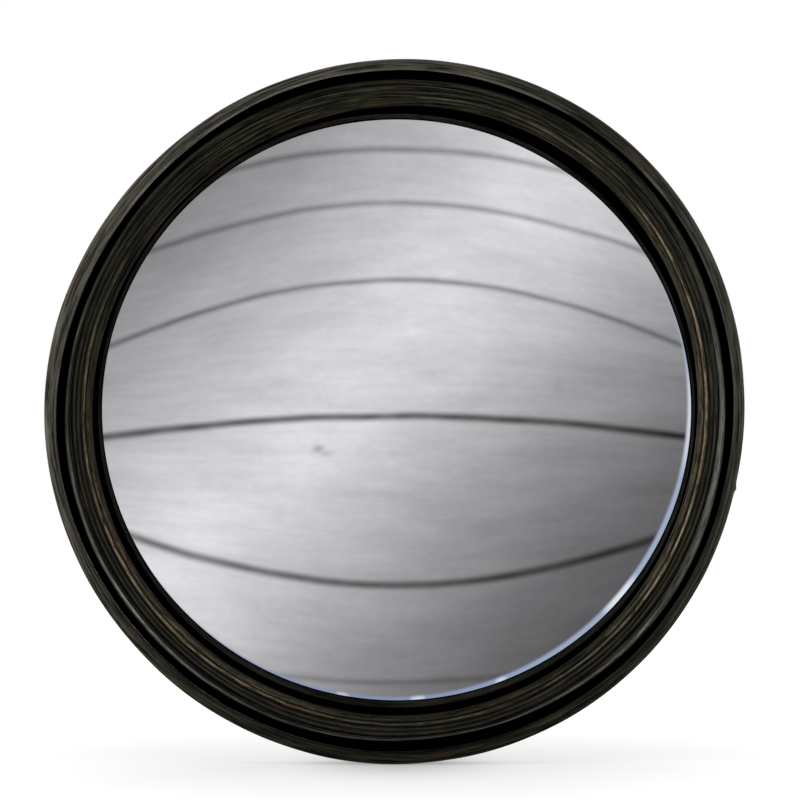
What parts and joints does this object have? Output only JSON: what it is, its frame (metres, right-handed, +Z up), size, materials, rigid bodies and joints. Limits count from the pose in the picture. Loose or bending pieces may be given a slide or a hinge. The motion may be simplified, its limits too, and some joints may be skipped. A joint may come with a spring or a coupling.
{
  "type": "convex mirror",
  "caption": "Round convex wall mirror: a domed silvered glass in a deep turned black frame with a reeded moulding, a removable back panel and a swinging hanger ring.",
  "frame": {"origin": "centre of the wall plane that the bumpers rest on, on the mirror's axis", "axes": "+Z up, +Y into the wall, -Y out of the convex glass towards the viewer, +X to the viewer's right"},
  "size_m": [0.4, 0.0507, 0.4],
  "materials": {
    "ebonised_wood": "black stain rubbed through to brown and gold on the ridges, satin",
    "mirror": "silvered, polished",
    "felt": "pressed felt",
    "cork": "pressed cork",
    "fibreboard": "raw fibreboard",
    "zinc_steel": "zinc plated",
    "rubber": "matte"
  },
  "bodies": {
    "frame": {"frame_ring": "ebonised_wood", "sight_slip": "ebonised_wood", "glazing_gasket": "felt", "mirror_glass": "mirror", "packing_ring": "cork", "edge_spacers": "cork", "back_panel": "fibreboard", "turn_button_screws": "zinc_steel", "hanger_strap": "zinc_steel", "hanger_screw": "zinc_steel", "wall_bumpers": "rubber"},
    "hanger_ring": {"hanger_ring": "zinc_steel"},
    "turn_button_1": {"turn_button_1": "zinc_steel"},
    "turn_button_2": {"turn_button_2": "zinc_steel"},
    "turn_button_3": {"turn_button_3": "zinc_steel"},
    "turn_button_4": {"turn_button_4": "zinc_steel"},
    "turn_button_5": {"turn_button_5": "zinc_steel"},
    "turn_button_6": {"turn_button_6": "zinc_steel"}
  },
  "joints": [
    {"name": "hanger_ring_swing", "type": "hinge", "parent": "frame", "child": "hanger_ring", "pos_m": [0, -0.00392, 0.18482], "axis": [1, 0, 0], "range_deg": [0, 180]},
    {"name": "turn_button_1_turn", "type": "hinge", "parent": "frame", "child": "turn_button_1", "pos_m": [0.1845, -0.006, 0], "axis": [0, 1, 0], "continuous": true},
    {"name": "turn_button_2_turn", "type": "hinge", "parent": "frame", "child": "turn_button_2", "pos_m": [0.09225, -0.006, 0.15978], "axis": [0, 1, 0], "continuous": true},
    {"name": "turn_button_3_turn", "type": "hinge", "parent": "frame", "child": "turn_button_3", "pos_m": [-0.09225, -0.006, 0.15978], "axis": [0, 1, 0], "continuous": true},
    {"name": "turn_button_4_turn", "type": "hinge", "parent": "frame", "child": "turn_button_4", "pos_m": [-0.1845, -0.006, 0], "axis": [0, 1, 0], "continuous": true},
    {"name": "turn_button_5_turn", "type": "hinge", "parent": "frame", "child": "turn_button_5", "pos_m": [-0.09225, -0.006, -0.15978], "axis": [0, 1, 0], "continuous": true},
    {"name": "turn_button_6_turn", "type": "hinge", "parent": "frame", "child": "turn_button_6", "pos_m": [0.09225, -0.006, -0.15978], "axis": [0, 1, 0], "continuous": true}
  ]
}
